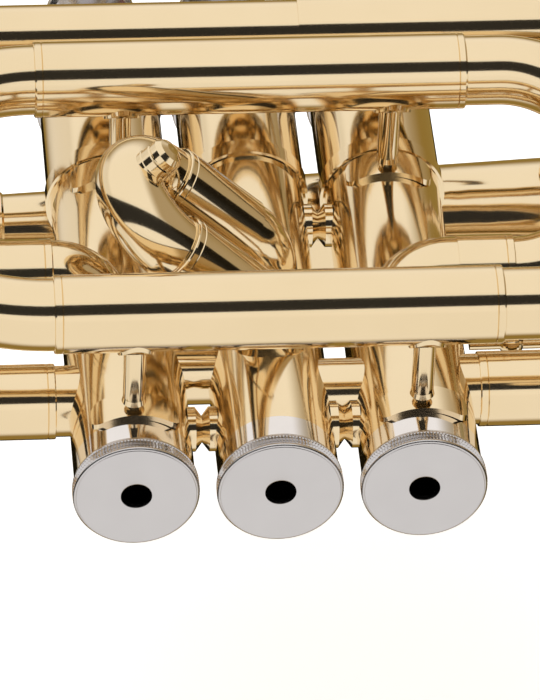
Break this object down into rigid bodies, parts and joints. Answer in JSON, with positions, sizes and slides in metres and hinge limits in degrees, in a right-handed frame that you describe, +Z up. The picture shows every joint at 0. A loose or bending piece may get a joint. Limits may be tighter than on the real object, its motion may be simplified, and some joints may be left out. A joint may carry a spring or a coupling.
{
  "type": "pocket trumpet",
  "caption": "Compact piston-valve trumpet with crossed tubing, pull-out slides, a flared bell and a mouthpiece.",
  "frame": {"origin": "middle of the second valve's bottom cap, on its outer face", "axes": "+X to the bell's mouth, +Y up the valves to the finger buttons, +Z to the player's right; the instrument lies on its left side, so +Z is up"},
  "size_m": [0.3517, 0.1531, 0.1199],
  "materials": {
    "lacquered_brass": "clear lacquer over polished brass",
    "raw_brass": "turned brass, unlacquered inside",
    "satin_nickel": "satin nickel plate",
    "nickel": "bright nickel silver",
    "silver_plate": "polished silver plate",
    "monel": "lapped",
    "spring_steel": "drawn wire",
    "pearl": "pearl inlay",
    "felt": "pressed felt",
    "cork": "natural cork"
  },
  "bodies": {
    "horn": {"valve_casing_1": "lacquered_brass", "valve_casing_2": "lacquered_brass", "valve_casing_3": "lacquered_brass", "bottom_cap_1": "satin_nickel", "bottom_cap_2": "satin_nickel", "bottom_cap_3": "satin_nickel", "top_cap_1": "satin_nickel", "top_cap_2": "satin_nickel", "top_cap_3": "satin_nickel", "casing_collars": "nickel", "valve_guides": "raw_brass", "button_felts": "felt", "lower_crossing_tube": "lacquered_brass", "upper_crossing_tube": "lacquered_brass", "tube_ferrules": "lacquered_brass", "rear_bow": "lacquered_brass", "front_inner_bow": "lacquered_brass", "inlet_knuckle": "lacquered_brass", "outlet_knuckle": "lacquered_brass", "crossover_tubes": "lacquered_brass", "valve_braces": "lacquered_brass", "bell": "lacquered_brass", "bell_rim_wire": "lacquered_brass", "bell_bow": "lacquered_brass", "bell_braces": "lacquered_brass", "leadpipe": "lacquered_brass", "mouthpiece_receiver": "lacquered_brass", "finger_hook": "lacquered_brass", "first_slide_sleeves": "lacquered_brass", "second_slide_sleeves": "lacquered_brass", "third_slide_sleeves": "lacquered_brass", "valve_spring_1": "spring_steel", "valve_spring_2": "spring_steel", "valve_spring_3": "spring_steel"},
    "valve_1": {"piston_1": "monel", "valve_stem_1": "satin_nickel", "finger_button_1": "satin_nickel", "button_pearl_1": "pearl"},
    "valve_2": {"piston_2": "monel", "valve_stem_2": "satin_nickel", "finger_button_2": "satin_nickel", "button_pearl_2": "pearl"},
    "valve_3": {"piston_3": "monel", "valve_stem_3": "satin_nickel", "finger_button_3": "satin_nickel", "button_pearl_3": "pearl"},
    "first_slide": {"first_slide": "lacquered_brass", "first_slide_saddle": "lacquered_brass"},
    "second_slide": {"second_slide": "lacquered_brass", "second_slide_knob": "lacquered_brass"},
    "third_slide": {"third_slide": "lacquered_brass", "third_slide_ring": "lacquered_brass", "third_slide_stop_rod": "lacquered_brass"},
    "main_slide": {"main_tuning_slide": "lacquered_brass", "main_slide_brace": "lacquered_brass", "water_key_mount": "lacquered_brass", "water_key_pivot": "nickel"},
    "water_key": {"water_key_lever": "lacquered_brass", "water_key_cork": "cork"},
    "mouthpiece": {"mouthpiece": "silver_plate"}
  },
  "joints": [
    {"name": "valve_1_press", "type": "slide", "parent": "horn", "child": "valve_1", "axis": [0, -1, 0], "range_m": [0, 0.016], "stiffness_N_per_m": 150, "springref_m": -0.012, "deforming": ["valve_spring_1"]},
    {"name": "valve_2_press", "type": "slide", "parent": "horn", "child": "valve_2", "axis": [0, -1, 0], "range_m": [0, 0.016], "stiffness_N_per_m": 150, "springref_m": -0.012, "deforming": ["valve_spring_2"]},
    {"name": "valve_3_press", "type": "slide", "parent": "horn", "child": "valve_3", "axis": [0, -1, 0], "range_m": [0, 0.016], "stiffness_N_per_m": 150, "springref_m": -0.012, "deforming": ["valve_spring_3"]},
    {"name": "first_slide_pull", "type": "slide", "parent": "horn", "child": "first_slide", "axis": [-1, 0, 0], "range_m": [0, 0.012]},
    {"name": "second_slide_pull", "type": "slide", "parent": "horn", "child": "second_slide", "axis": [-0.7302, 0, 0.6833], "range_m": [0, 0.01]},
    {"name": "third_slide_pull", "type": "slide", "parent": "horn", "child": "third_slide", "axis": [1, 0, 0], "range_m": [0, 0.013]},
    {"name": "tuning_slide_pull", "type": "slide", "parent": "horn", "child": "main_slide", "axis": [1, 0, 0], "range_m": [0, 0.02]},
    {"name": "mouthpiece_pull", "type": "slide", "parent": "horn", "child": "mouthpiece", "axis": [-1, 0, 0], "range_m": [0, 0.022]},
    {"name": "water_key_turn", "type": "hinge", "parent": "main_slide", "child": "water_key", "pos_m": [0.058, 0.0008, 0.032], "axis": [0, 0, -1], "range_deg": [0, 12], "stiffness_Nm_per_rad": 0.08, "springref_deg": -17.19}
  ]
}
